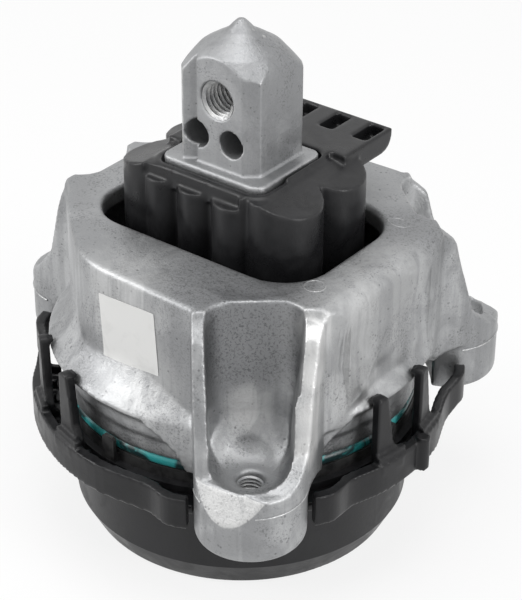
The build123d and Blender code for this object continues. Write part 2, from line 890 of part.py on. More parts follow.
def hook():
    """Snap hook pointing along +X: a leg on the band with a nose over the skirt's edge."""
    leg_inner = skirt_radius + SLIDE_GAP
    leg_outer = leg_inner + hook_thickness
    half_foot = hook_foot_width / 2
    face = make_face(
        Polyline(
            (-half_foot, ring_top - ring_wall),
            (half_foot, ring_top - ring_wall),
            (half_foot, ring_top + 1.0),
            (half_foot - 2.4, ring_top + 5.5),
            (-half_foot + hook_top_width + 1.0, hook_top - 6.0),
            (-half_foot + hook_top_width, hook_top - 0.8),
            (-half_foot + hook_top_width - 0.9, hook_top),
            (-half_foot + 0.9, hook_top),
            (-half_foot, hook_top - 0.9),
            close=True,
        )
    )
    leg = Plane(origin=(leg_inner, 0, 0), x_dir=(0, 1, 0), z_dir=(1, 0, 0)) * extrude(face, hook_thickness)
    foot_width = ring_radius - leg_outer
    leg += Pos(leg_outer + foot_width / 2 - 0.5, 0, ring_top - ring_wall / 2) * Box(
        foot_width + 1.0, hook_foot_width, ring_wall
    )
    nose_bottom = skirt_edge + skirt_band + SLIDE_GAP
    nose_profile = make_face(
        Polyline(
            (leg_inner + 0.1, nose_bottom - hook_nose_height),
            (leg_inner + 0.1, hook_top - 0.8),
            (skirt_radius - hook_catch + 0.3, nose_bottom + 0.6),
            (skirt_radius - hook_catch, nose_bottom),
            (skirt_radius + SLIDE_GAP / 2, nose_bottom - hook_catch),
            close=True,
        )
    )
    nose = Pos(0, -half_foot + hook_top_width / 2, 0) * extrude(
        Plane.XZ * nose_profile, hook_top_width / 2 - 0.3, both=True
    )
    bar = Pos(leg_outer + hook_bar_depth / 2 - 0.6, 0.6, ring_top + hook_bar_height / 2 - 0.5) * Box(
        hook_bar_depth, hook_bar_width, hook_bar_height + 1.0
    )
    return leg + nose + bar


def ring_segments():
    """Stretches of band between the ears: start, end, and which ends are raised."""
    order = sorted(ear[0] % 360 for ear in ears.values())
    low = ears["front"][0] % 360
    stretches = []
    for number, first in enumerate(order):
        second = order[(number + 1) % len(order)] + (360 if number == len(order) - 1 else 0)
        raised = [side for side, ear in ((-1, first), (1, second)) if ear % 360 != low]
        stretches.append((first + ring_end_angle, second - ring_end_angle, raised))
    return stretches


def make_retaining_ring():
    hoop_inner = can_radius + SLIDE_GAP
    ring = tube(ring_hoop_radius, hoop_inner, ring_bottom, can_flange_bottom)
    for start, end, raised in ring_segments():
        band = ring_band(start, end)
        for side in raised:
            for cutter in raised_end_cuts(end if side > 0 else start, side):
                band -= cutter
        ramp = ring_raise_angle + ring_raise_run
        low_start = start + (ramp if -1 in raised else -1.0)
        low_end = end - (ramp if 1 in raised else -1.0)
        band -= sector(2 * ring_radius, low_start, low_end, ring_top, ring_top + 2 * ring_raise)
        floor_start = start + (ramp - ring_raise_run / 2 if -1 in raised else 0)
        floor_end = end - (ramp - ring_raise_run / 2 if 1 in raised else 0)
        floor_outer = ring_radius - ring_wall + 0.5
        ring += band
        ring += arc_wall(floor_outer, hoop_inner, floor_start, floor_end, ring_bottom, can_flange_bottom)
        plain = ring_flare_angle + ring_flare_run
        rib_count = int((end - start - 2 * plain) / ring_rib_pitch)
        for number in range(rib_count + 1):
            angle = (start + end) / 2 + (number - rib_count / 2) * ring_rib_pitch
            rib_length = ring_radius - ring_hoop_radius - 1.0
            rib = Box(rib_length, ring_rib_thickness, ring_rib_height)
            height = can_flange_bottom + ring_rib_height / 2 - 0.2
            ring += turned(angle) * (Pos((ring_hoop_radius + ring_radius) / 2, 0, height) * rib)
    for angle in hook_angles:
        ring += turned(angle) * hook()
    lug = extrude(Circle(ring_lug_radius), ring_height + ring_lug_rise)
    return ring + turned(ring_lug_angle) * (Pos(ring_radius + 0.5, 0, ring_bottom) * lug)


# Sealed stack


def make_seal():
    outer = track_radius
    inner = track_radius - seal_width
    middle = seal_bottom + seal_height / 2
    return revolved(
        (inner, seal_bottom),
        (outer - seal_bulge, seal_bottom),
        (outer, middle - 0.8),
        (outer, middle + 0.8),
        (outer - seal_bulge, housing_bottom),
        (inner, housing_bottom),
    )


def cage_slots(bottom, top):
    """Row of radial slots through which the fluid reaches the decoupler."""
    slots = None
    for number in range(cage_slot_count):
        slot = turned(number * 360 / cage_slot_count) * (
            Pos(cage_slot_pitch_radius, 0, bottom)
            * extrude(SlotOverall(cage_slot_length, 2 * cage_slot_radius), top - bottom)
        )
        slots = slot if slots is None else slots + slot
    return slots


def cage_clip():
    """Tab along +X that stands up in front of the seal."""
    half_width = clip_width / 2
    tab = Pos((clip_inner + clip_outer) / 2, 0, (can_top + clip_top) / 2) * Box(
        clip_outer - clip_inner, clip_width, clip_top - can_top
    )
    tab = chamfer(tab.edges().filter_by(Axis.X).group_by(Axis.Z)[-1], half_width / 3)
    foot_length = clip_inner - track_radius + 1.0
    return tab + Pos(clip_inner - foot_length / 2 + 0.2, 0, can_top + clip_foot_height / 2) * Box(
        foot_length + 0.4, clip_width, clip_foot_height
    )


def make_track_lower():
    plate = disc(track_radius, can_top, seal_bottom)
    recess_bottom = seal_bottom - decoupler_thickness / 2 - track_fit_gap
    plate -= disc(decoupler_radius + track_fit_gap, recess_bottom, seal_bottom)
    for angle in clip_angles:
        plate += turned(angle) * cage_clip()
    plate -= cage_slots(can_top - 1.0, seal_bottom)
    half = track_groove_width / 2
    plate -= arc_wall(
        track_groove_radius + half,
        track_groove_radius - half,
        track_start,
        track_end,
        seal_bottom - track_groove_depth,
        seal_bottom + 1.0,
    )
    port = polar(track_groove_radius, track_start + 8.0)
    return plate - Pos(port[0], port[1], can_top - 1.0) * extrude(Circle(track_port_radius), 10.0)


def make_track_upper():
    plate = disc(bore_radius - FIT_GAP, seal_bottom, track_upper_top)
    recess_top = seal_bottom + decoupler_thickness / 2 + track_fit_gap
    plate -= disc(decoupler_radius + track_fit_gap, seal_bottom, recess_top)
    plate -= cage_slots(seal_bottom, track_upper_top + 1.0)
    port = polar(track_groove_radius, track_end - 8.0)
    return plate - Pos(port[0], port[1], seal_bottom - 1.0) * extrude(Circle(track_port_radius), 10.0)


def make_decoupler():
    """Rubber disc held between the two track plates, with one raised ring on each face."""
    half = decoupler_thickness / 2
    membrane = disc(decoupler_radius, seal_bottom - half + 0.3, seal_bottom + half - 0.3)
    rim = tube(decoupler_radius, decoupler_radius - 2.5, seal_bottom - half, seal_bottom + half)
    return membrane + rim


def make_bellows():
    """Rolling rubber bellows below the track plates, with a bead clamped on the can's shoulder."""
    bottom = can_shoulder_height - bellows_depth
    bead_outer = can_inner_radius - FIT_GAP
    wall = bellows_thickness
    return revolved(
        (bead_outer, can_shoulder_height),
        (can_shoulder_radius - 1.0, can_shoulder_height),
        (bellows_roll_radius, can_shoulder_height - 3.0),
        (bellows_roll_radius - 5.0, bottom + 4.0),
        (bellows_roll_radius - 9.0, bottom),
        (0, bottom),
        (0, bottom + wall),
        (bellows_roll_radius - 10.0, bottom + wall),
        (bellows_roll_radius - 6.6, bottom + 5.0),
        (bellows_roll_radius - 1.8, can_shoulder_height - 1.8),
        (can_shoulder_radius - 1.8, can_shoulder_height + wall),
        (can_shoulder_radius, can_shoulder_height + wall + 0.2),
        (can_shoulder_radius, can_shoulder_height + bellows_bead_height),
        (bead_outer, can_shoulder_height + bellows_bead_height),
    )


def make_bellows_clamp_ring():
    return tube(
        can_inner_radius - FIT_GAP, can_shoulder_radius, can_shoulder_height + bellows_bead_height, can_top
    )


def make_base_can():
    shoulder = can_shoulder_height
    can = revolved(
        (0, 0),
        (can_foot_radius, 0),
        (can_radius, can_foot_height),
        (can_radius, can_flange_bottom),
        (can_flange_radius, can_flange_bottom),
        (can_flange_radius, can_top),
        (can_inner_radius, can_top),
        (can_inner_radius, shoulder),
        (can_shoulder_radius, shoulder),
        (can_shoulder_radius, shoulder - 3.0),
        (can_inner_radius, shoulder - 8.0),
        (can_inner_radius, can_foot_height),
        (can_foot_radius - can_wall, can_wall),
        (0, can_wall),
    )
    return fillet(can.edges().group_by(Axis.Z)[0], can_foot_round)


pieces = {
    "housing": make_housing,
    "core": make_core,
    "rubber_spring": make_rubber_spring,
    "spring_insert": make_spring_insert,
    "retaining_ring": make_retaining_ring,
    "seal": make_seal,
    "track_upper": make_track_upper,
    "track_lower": make_track_lower,
    "decoupler": make_decoupler,
    "bellows": make_bellows,
    "bellows_clamp_ring": make_bellows_clamp_ring,
    "base_can": make_base_can,
}

for name, make in pieces.items():
    export_step(make(), f"parts/{name}.step")
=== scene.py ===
"""Looks of the engine mount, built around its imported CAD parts. Metres, +Z up."""

import json
from math import atan2, cos, degrees, pi, radians, sin

import bmesh
import bpy
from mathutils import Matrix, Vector

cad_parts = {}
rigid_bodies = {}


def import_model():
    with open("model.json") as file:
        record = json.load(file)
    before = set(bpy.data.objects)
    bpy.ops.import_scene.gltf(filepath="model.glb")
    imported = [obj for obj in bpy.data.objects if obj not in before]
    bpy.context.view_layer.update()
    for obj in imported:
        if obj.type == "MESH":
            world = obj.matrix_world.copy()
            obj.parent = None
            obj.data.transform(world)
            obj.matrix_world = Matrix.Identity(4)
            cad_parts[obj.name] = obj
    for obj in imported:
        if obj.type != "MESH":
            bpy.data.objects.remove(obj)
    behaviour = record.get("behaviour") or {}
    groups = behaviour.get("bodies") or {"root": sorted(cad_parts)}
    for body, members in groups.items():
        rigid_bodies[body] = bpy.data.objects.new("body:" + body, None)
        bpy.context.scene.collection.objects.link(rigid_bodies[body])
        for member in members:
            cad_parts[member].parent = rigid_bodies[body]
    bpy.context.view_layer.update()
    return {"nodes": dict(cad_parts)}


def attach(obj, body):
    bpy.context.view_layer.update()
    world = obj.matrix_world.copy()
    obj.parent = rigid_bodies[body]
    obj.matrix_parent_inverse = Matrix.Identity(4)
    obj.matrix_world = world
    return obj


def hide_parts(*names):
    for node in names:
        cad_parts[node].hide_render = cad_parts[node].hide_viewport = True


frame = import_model()
bpy.ops.object.select_all(action="DESELECT")

MM = 0.001

# Camera, solved from the photograph's circles and upright edges
CAMERA_PLACE = (0.3365, -0.4278, 0.4046)
CAMERA_TARGET = (0.0, 0.0, 0.072)
CAMERA_LENS = 123.4
CAMERA_SHIFT = 0.0327

# Lamps: name, place, size and power, in metres and watts
LAMPS = (
    ("top_softbox", (0.0, -0.1, 1.1), (0.7, 0.7), 5.2),
    ("left_softbox", (-0.75, -0.75, 0.55), (0.4, 0.9), 6.4),
    ("right_softbox", (0.95, -0.05, 0.45), (0.25, 0.9), 5.0),
)
LAMP_TARGET = (0.0, 0.0, 0.08)
SKY_LIGHT = 0.42
FLOOR_GLOW = 0.82
FLOOR_SIZE = 12.0
FLOOR_DROP = 0.0002

# Places on the casting and sizes of the fine parts, in millimetres and degrees
PLATE_TOP = 103.0
FLAT_SIDE_X = 56.0
FLAT_SIDE_WAVES = ((-29.0, 0.9), (-21.5, -1.2), (-14.0, 0.8), (20.0, -0.9))
FLAT_SIDE_WAVE_HEIGHTS = (72.0, 80.0, 88.0)
FLAT_SIDE_WAVE_REACH = 7.5
TOP_DIMPLES = ((44.2, -4.3), (47.5, -1.0))
DIMPLE_REACH = 2.3
DIMPLE_DEPTH = 1.3
RUBBER_SPLIT = 84.0
# Share of a push's reach that moves all the way
PUSH_CORE = 0.35

LABEL_PLACE = (-1.0, -52.3, 84.8)
LABEL_WIDTH = 22.8
LABEL_HEIGHT = 21.4
LABEL_ROLL = -4.0
LABEL_TURN = -2.6
LABEL_LIFT = 0.12
LABEL_THICKNESS = 0.15

# Ears: name, direction, foot, mouth of the screw's hole, side of the narrow flank
EARS = (
    ("front", -49.5, 34.0, 52.3, -1),
    ("right", 49.5, 41.0, 57.6, 1),
    ("left", 180.0, 41.0, 56.6, 0),
)
EAR_REACH = 66.5
BOSS_RADIUS = 16.5

# Flash lines: from the boss's outermost line, the spans in which each flank has one
FLASH_RADIUS = 0.28
FLASH_DROP = 2.3
FLASH_WIDE_FLANK = (1.0, 88.0)
FLASH_NARROW_FLANK = (62.0, 88.0)
# The left ear's line stops short of the outermost place, where it would widen the part
FLASH_LEFT_EAR = (13.0, 88.0)

# Rim facet of the front and right ears: its crest's ends, its slope, and the place of its middle
FACET_START = (70.5, 16.0)
FACET_END = (82.0, -2.9)
FACET_SLOPE = 63.0
FACET_REACH = 77.0
FACET_SIDE = 7.0
FACET_DROP = 1.0
FACET_INNER = 12.5
FACET_OUTER = 14.0

# Step in the narrow rib's foot, along the ear, across it, and above the screw's mouth
NOTCH_ALONG = (70.3, 92.0)
NOTCH_ACROSS = (2.5, 24.0)
NOTCH_ABOVE = (3.2, 40.0)

# Threads: thread radius, ridge depth and pitch
CORE_THREAD = (6.0, 0.72, 1.75)
EAR_THREAD = (4.0, 0.52, 1.25)
CORE_THREAD_LENGTH = 26.0
CORE_THREAD_PLACE = (0.4, 12.9, 145.0)
EAR_THREAD_RISE = 0.7
EAR_THREAD_SHORTER = 1.5
THREAD_STEPS = 28
# Share of a ridge's depth that lies in the wall
RIDGE_SINK = 0.3

# Cast marks on the plate: name, place, radius and squash
CAST_MARKS = (
    ("round_cast_mark", (43.0, -20.9), 3.1, 1.0),
    ("oval_cast_mark", (41.0, 24.3), 3.6, 0.6),
)
MARK_BEAD = 0.55
MARK_SINK = 0.26
MARK_FLATNESS = 0.6

# Rubbed places and painted highlights, and stained places and a painted shade: place, full effect
# within, none beyond, strength
RUBBED_AND_HIGHLIT_PLACES = (
    # Painted highlights along the flat side's rolled top edge and on its lower wall
    ((54.0, 0.0, 99.0), 7.0, 26.0, 0.2),
    ((54.0, -24.0, 96.0), 5.0, 22.0, 0.25),
    ((56.0, -16.0, 72.0), 4.0, 20.0, 0.25),
    # Painted highlights on the lower back wall of the front ear's scoop
    ((37.0, -43.5, 68.0), 5.0, 11.0, 0.7),
    ((45.5, -40.0, 66.0), 3.0, 8.0, 0.8),
    # Painted highlights on the front wall
    ((6.0, -52.0, 72.0), 5.0, 20.0, 0.3),
    ((-4.0, -52.0, 97.0), 4.0, 24.0, 0.3),
    # The strip along the front ear's wide rib: rubbed bright metal, also painted lighter as a highlight
    ((53.0, -33.6, 96.0), 3.0, 9.0, 0.85),
    ((55.3, -36.3, 86.0), 3.0, 9.0, 0.85),
    ((55.9, -37.7, 74.0), 3.0, 9.0, 0.85),
    ((57.1, -39.9, 64.0), 3.0, 9.0, 0.85),
)
STAINED_AND_SHADED_PLACES = (
    # Painted shade in the front ear's scoop, a recess; the other places are stains on the plate and the
    # front wall
    ((33.5, -39.3, 90.0), 9.0, 22.0, 0.75),
    ((20.0, -38.0, 103.0), 8.0, 26.0, 0.6),
    ((40.0, -30.0, 103.0), 6.0, 18.0, 0.6),
    ((44.0, 22.0, 103.0), 6.0, 20.0, 0.45),
    ((22.0, -50.0, 84.0), 4.0, 18.0, 0.35),
)


def ear_place(angle, along, across, height):
    """A place or direction given along and across an ear, in the part's own axes."""
    turn = radians(angle)
    return (
        along * cos(turn) - across * sin(turn),
        along * sin(turn) + across * cos(turn),
        height,
    )


# Camera, light and floor

def place_camera():
    bpy.ops.object.camera_add(location=CAMERA_PLACE)
    camera = bpy.context.object
    camera.name = "photo_camera"
    camera.rotation_mode = "QUATERNION"
    look = Vector(CAMERA_TARGET) - Vector(CAMERA_PLACE)
    camera.rotation_quaternion = look.to_track_quat("-Z", "Y")
    camera.data.lens = CAMERA_LENS
    camera.data.shift_x = CAMERA_SHIFT
    camera.data.clip_start = 0.01
    camera.data.clip_end = 20.0
    bpy.context.scene.camera = camera


def area_lamp(name, place, size, power):
    bpy.ops.object.light_add(type="AREA", location=place)
    lamp = bpy.context.object
    lamp.name = name
    lamp.data.shape = "RECTANGLE"
    lamp.data.size = size[0]
    lamp.data.size_y = size[1]
    lamp.data.energy = power
    lamp.rotation_mode = "QUATERNION"
    lamp.rotation_quaternion = (Vector(LAMP_TARGET) - Vector(place)).to_track_quat("-Z", "Y")


def place_lamps():
    for lamp in LAMPS:
        area_lamp(*lamp)


def background_rays(nodes, links):
    """1 for the rays that show the background: straight from the camera, mirrored or passed on."""
    path = nodes.new("ShaderNodeLightPath")
    seen = path.outputs["Is Camera Ray"]
    for kind in ("Is Glossy Ray", "Is Transmission Ray"):
        either = nodes.new("ShaderNodeMath")
        either.operation = "MAXIMUM"
        links.new(seen, either.inputs[0])
        links.new(path.outputs[kind], either.inputs[1])
        seen = either.outputs[0]
    return seen


def shade_world():
    world = bpy.data.worlds.new("studio")
    bpy.context.scene.world = world
    world.use_nodes = True
    nodes = world.node_tree.nodes
    links = world.node_tree.links
    nodes.clear()
    seen = background_rays(nodes, links)
    light = nodes.new("ShaderNodeBackground")
    light.inputs["Color"].default_value = (1.0, 1.0, 1.0, 1.0)
    light.inputs["Strength"].default_value = SKY_LIGHT
    backdrop = nodes.new("ShaderNodeBackground")
    backdrop.inputs["Color"].default_value = (1.0, 1.0, 1.0, 1.0)
    backdrop.inputs["Strength"].default_value = 1.0
    mix = nodes.new("ShaderNodeMixShader")
    links.new(seen, mix.inputs[0])
    links.new(light.outputs[0], mix.inputs[1])
    links.new(backdrop.outputs[0], mix.inputs[2])
    out = nodes.new("ShaderNodeOutputWorld")
    links.new(mix.outputs[0], out.inputs["Surface"])


def lay_floor():
    bpy.ops.mesh.primitive_plane_add(size=FLOOR_SIZE, location=(0.0, 0.0, -FLOOR_DROP))
    floor = bpy.context.object
    floor.name = "studio_floor"
    material = bpy.data.materials.new("pale_floor")
    material.use_nodes = True
    nodes = material.node_tree.nodes
    links = material.node_tree.links
    nodes.clear()
    paint = nodes.new("ShaderNodeBsdfDiffuse")
    paint.inputs["Color"].default_value = (0.9, 0.9, 0.9, 1.0)
    glow = nodes.new("ShaderNodeEmission")
    glow.inputs["Color"].default_value = (1.0, 1.0, 1.0, 1.0)
    share = nodes.new("ShaderNodeMath")
    share.operation = "MULTIPLY"
    share.inputs[1].default_value = FLOOR_GLOW
    links.new(background_rays(nodes, links), share.inputs[0])
    mix = nodes.new("ShaderNodeMixShader")
    links.new(share.outputs[0], mix.inputs[0])
    links.new(paint.outputs[0], mix.inputs[1])
    links.new(glow.outputs[0], mix.inputs[2])
    out = nodes.new("ShaderNodeOutputMaterial")
    links.new(mix.outputs[0], out.inputs["Surface"])
    floor.data.materials.append(material)


# Helpers for modelling


def select_only(*objects):
    bpy.ops.object.select_all(action="DESELECT")
    for item in objects:
        item.select_set(True)
    bpy.context.view_layer.objects.active = objects[0]


def apply_modifier(piece, kind, **values):
    """Adds one modifier with its values and applies it."""
    select_only(piece)
    modifier = piece.modifiers.new(kind.lower(), kind)
    for name, value in values.items():
        setattr(modifier, name, value)
    bpy.ops.object.modifier_apply(modifier=modifier.name)


def settle(piece):
    """Puts the piece's place into its mesh."""
    select_only(piece)
    bpy.ops.object.transform_apply(location=True, rotation=True, scale=True)


def merged_copy(node, name):
    """A CAD node's mesh as a piece of its own, with its loose triangles joined."""
    select_only(frame["nodes"][node])
    bpy.ops.object.duplicate()
    piece = bpy.context.object
    piece.name = name
    bpy.ops.object.parent_clear(type="CLEAR_KEEP_TRANSFORM")
    for key in list(piece.keys()):
        del piece[key]
    bpy.ops.object.mode_set(mode="EDIT")
    bpy.ops.mesh.select_all(action="SELECT")
    bpy.ops.mesh.remove_doubles(threshold=0.001 * MM)
    bpy.ops.object.mode_set(mode="OBJECT")
    return piece


def soften(piece, voxel, rounds):
    """Recasts the piece in small even faces and rounds its edges."""
    apply_modifier(piece, "REMESH", mode="VOXEL", voxel_size=voxel * MM, use_smooth_shade=True)
    apply_modifier(piece, "SMOOTH", factor=0.5, iterations=rounds)


def pick(piece, wanted):
    """In edit mode, selects the vertices whose place in millimetres is wanted."""
    mesh = bmesh.from_edit_mesh(piece.data)
    mesh.select_mode = {"VERT"}
    for vertex in mesh.verts:
        vertex.select_set(wanted(vertex.co / MM))
    mesh.select_flush_mode()
    bmesh.update_edit_mesh(piece.data)


def push(piece, place, reach, move):
    """Draws the surface round a place along move, fading out over reach. Millimetres."""
    centre = Vector(place)
    select_only(piece)
    bpy.ops.object.mode_set(mode="EDIT")
    pick(piece, lambda spot: (spot - centre).length < PUSH_CORE * reach)
    bpy.ops.transform.translate(
        value=Vector(move) * MM,
        use_proportional_edit=True,
        proportional_edit_falloff="SMOOTH",
        proportional_size=reach * MM,
    )
    bpy.ops.object.mode_set(mode="OBJECT")


def finish_piece(piece, material, slot, *nodes):
    piece.data.materials.clear()
    piece.data.materials.append(material)
    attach(piece, "root")
    if nodes:
        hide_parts(*nodes)


# Helpers for materials


def new_group(name, inputs, outputs):
    group = bpy.data.node_groups.new(name, "ShaderNodeTree")
    for label, value in inputs.items():
        socket = group.interface.new_socket(label, in_out="INPUT", socket_type="NodeSocketFloat")
        socket.default_value = value
    for label in outputs:
        group.interface.new_socket(label, in_out="OUTPUT", socket_type="NodeSocketFloat")
    return group, group.nodes.new("NodeGroupInput"), group.nodes.new("NodeGroupOutput")


def join(tree, source, target):
    tree.links.new(source, target)


def maths(tree, operation, first, second=None):
    node = tree.nodes.new("ShaderNodeMath")
    node.operation = operation
    for number, value in enumerate((first, second)):
        if value is None:
            continue
        if isinstance(value, (int, float)):
            node.inputs[number].default_value = value
        else:
            join(tree, value, node.inputs[number])
    return node.outputs[0]


def ramp(tree, value, low, high, low_to=0.0, high_to=1.0):
    """Maps a value from low..high to another span, smoothly."""
    node = tree.nodes.new("ShaderNodeMapRange")
    node.interpolation_type = "SMOOTHSTEP"
    sockets = (value, low, high, low_to, high_to)
    for socket, given in zip(node.inputs, sockets):
        if isinstance(given, (int, float)):
            socket.default_value = given
        else:
            join(tree, given, socket)
    return node.outputs[0]


def object_place(tree, stretch=(1.0, 1.0, 1.0)):
    place = tree.nodes.new("ShaderNodeTexCoord")
    mapping = tree.nodes.new("ShaderNodeMapping")
    mapping.inputs["Scale"].default_value = stretch
    join(tree, place.outputs["Object"], mapping.inputs["Vector"])
    return mapping.outputs[0]


def noise(tree, place, scale, detail=4.0, rough=0.55, twist=0.0):
    node = tree.nodes.new("ShaderNodeTexNoise")
    join(tree, place, node.inputs["Vector"])
    if isinstance(scale, (int, float)):
        node.inputs["Scale"].default_value = scale
    else:
        join(tree, scale, node.inputs["Scale"])
    node.inputs["Detail"].default_value = detail
    node.inputs["Roughness"].default_value = rough
    node.inputs["Distortion"].default_value = twist
    return node.outputs["Fac"]


def blend_colour(tree, first, second, share):
    node = tree.nodes.new("ShaderNodeMix")
    node.data_type = "RGBA"
    for socket, value in ((node.inputs[6], first), (node.inputs[7], second)):
        if isinstance(value, tuple):
            socket.default_value = (*value, 1.0)
        else:
            join(tree, value, socket)
    if isinstance(share, (int, float)):
        node.inputs[0].default_value = share
    else:
        join(tree, share, node.inputs[0])
    return node.outputs[2]


# Effects that several finishes share


def make_grain_group():
    """Fine unevenness of a cast or moulded skin, and the pits in it."""
    group, given, out = new_group("cast_grain", {"Scale": 600.0}, ("Height", "Pits"))
    place = object_place(group)
    scale = given.outputs["Scale"]
    coarse = noise(group, place, scale, 5.0, 0.6)
    fine = noise(group, place, maths(group, "MULTIPLY", scale, 3.6), 3.0, 0.6)
    height = maths(
        group, "ADD", maths(group, "MULTIPLY", coarse, 0.65), maths(group, "MULTIPLY", fine, 0.35)
    )
    cells = group.nodes.new("ShaderNodeTexVoronoi")
    join(group, place, cells.inputs["Vector"])
    join(group, maths(group, "MULTIPLY", scale, 0.9), cells.inputs["Scale"])
    cells.inputs["Randomness"].default_value = 1.0
    spots = ramp(group, cells.outputs["Distance"], 0.30, 0.10)
    clouds = noise(group, place, maths(group, "MULTIPLY", scale, 0.35), 2.0)
    pits = maths(group, "MULTIPLY", spots, ramp(group, clouds, 0.50, 0.66))
    pitted = maths(group, "SUBTRACT", height, maths(group, "MULTIPLY", pits, 0.25))
    join(group, pitted, out.inputs["Height"])
    join(group, pits, out.inputs["Pits"])
    return group


def make_wear_and_shade_group():
    """Edges rubbed bright, broken up along their length, and hollows for painted shade."""
    values = {"Low": 0.52, "High": 0.60, "Break": 250.0}
    group, given, out = new_group("edge_wear_and_hollow_shade", values, ("Edges", "Hollow_Shade"))
    shape = group.nodes.new("ShaderNodeNewGeometry")
    point = shape.outputs["Pointiness"]
    edges = ramp(group, point, given.outputs["Low"], given.outputs["High"])
    gaps = noise(group, object_place(group), given.outputs["Break"], 4.0, 0.65)
    worn = maths(group, "MULTIPLY", edges, ramp(group, gaps, 0.36, 0.58))
    join(group, worn, out.inputs["Edges"])
    # Painted shade: hollows, found by low pointiness, to be darkened where shade falls
    join(group, ramp(group, point, 0.485, 0.40), out.inputs["Hollow_Shade"])
    return group


def make_mottle_group():
    """Soft blotches of stain and oxide."""
    group, given, out = new_group("mottle", {"Scale": 60.0, "Low": 0.4, "High": 0.62}, ("Blotches",))
    place = object_place(group)
    broad = noise(group, place, given.outputs["Scale"], 6.0, 0.62, 0.6)
    join(group, ramp(group, broad, given.outputs["Low"], given.outputs["High"]), out.inputs["Blotches"])
    return group


def make_streak_group():
    """Upright flow marks of molten metal on the walls of a casting."""
    group, given, out = new_group("flow_streaks", {"Scale": 130.0}, ("Streaks",))
    place = object_place(group, (1.0, 1.0, 0.10))
    lines = noise(group, place, given.outputs["Scale"], 5.0, 0.6, 0.9)
    join(group, ramp(group, lines, 0.40, 0.62), out.inputs["Streaks"])
    return group


def make_dust_group():
    """Pale dust on faces that look up."""
    group, given, out = new_group("dust", {"Scale": 180.0, "Amount": 0.5}, ("Dust",))
    shape = group.nodes.new("ShaderNodeNewGeometry")
    split = group.nodes.new("ShaderNodeSeparateXYZ")
    join(group, shape.outputs["Normal"], split.inputs[0])
    upward = ramp(group, split.outputs["Z"], 0.15, 0.95, 0.12, 1.0)
    clouds = noise(group, object_place(group), given.outputs["Scale"], 7.0, 0.68, 0.8)
    settled = maths(group, "MULTIPLY", upward, ramp(group, clouds, 0.42, 0.70))
    join(group, maths(group, "MULTIPLY", settled, given.outputs["Amount"]), out.inputs["Dust"])
    return group


GRAIN = make_grain_group()
WEAR_AND_SHADE = make_wear_and_shade_group()
MOTTLE = make_mottle_group()
STREAKS = make_streak_group()
DUST = make_dust_group()


def place_group(tree, group, **values):
    node = tree.nodes.new("ShaderNodeGroup")
    node.node_tree = group
    for name, value in values.items():
        node.inputs[name].default_value = value
    return node


def new_material(name, metallic, bump_strength, bump_depth):
    """A material with its shader and the bump that feeds the shader's normal."""
    material = bpy.data.materials.new(name)
    material.use_nodes = True
    tree = material.node_tree
    shader = tree.nodes["Principled BSDF"]
    shader.inputs["Metallic"].default_value = metallic
    bump = tree.nodes.new("ShaderNodeBump")
    bump.inputs["Strength"].default_value = bump_strength
    bump.inputs["Distance"].default_value = bump_depth * MM
    join(tree, bump.outputs["Normal"], shader.inputs["Normal"])
    return material, tree, shader, bump


def face_direction(tree):
    shape = tree.nodes.new("ShaderNodeNewGeometry")
    split = tree.nodes.new("ShaderNodeSeparateXYZ")
    join(tree, shape.outputs["Normal"], split.inputs[0])
    return split.outputs


def near_place(tree, spot, inner, outer):
    """1 within inner of a spot in millimetres, falling to 0 at outer."""
    gap = tree.nodes.new("ShaderNodeVectorMath")
    gap.operation = "DISTANCE"
    join(tree, object_place(tree), gap.inputs[0])
    gap.inputs[1].default_value = [part * MM for part in spot]
    return ramp(tree, gap.outputs["Value"], outer * MM, inner * MM)


def facing(tree, direction, low, high):
    """1 on faces that look along a direction."""
    shape = tree.nodes.new("ShaderNodeNewGeometry")
    turn = tree.nodes.new("ShaderNodeVectorMath")
    turn.operation = "DOT_PRODUCT"
    join(tree, shape.outputs["Normal"], turn.inputs[0])
    turn.inputs[1].default_value = direction
    return ramp(tree, turn.outputs["Value"], low, high)


def facet_looks(angle, narrow):
    """Which way an ear's facet looks, from the line of its crest and its slope."""
    run = Vector((FACET_END[0] - FACET_START[0], FACET_START[1] - FACET_END[1], 0.0)).normalized()
    slope = radians(FACET_SLOPE)
    return ear_place(angle, run.y * sin(slope), narrow * run.x * sin(slope), cos(slope))


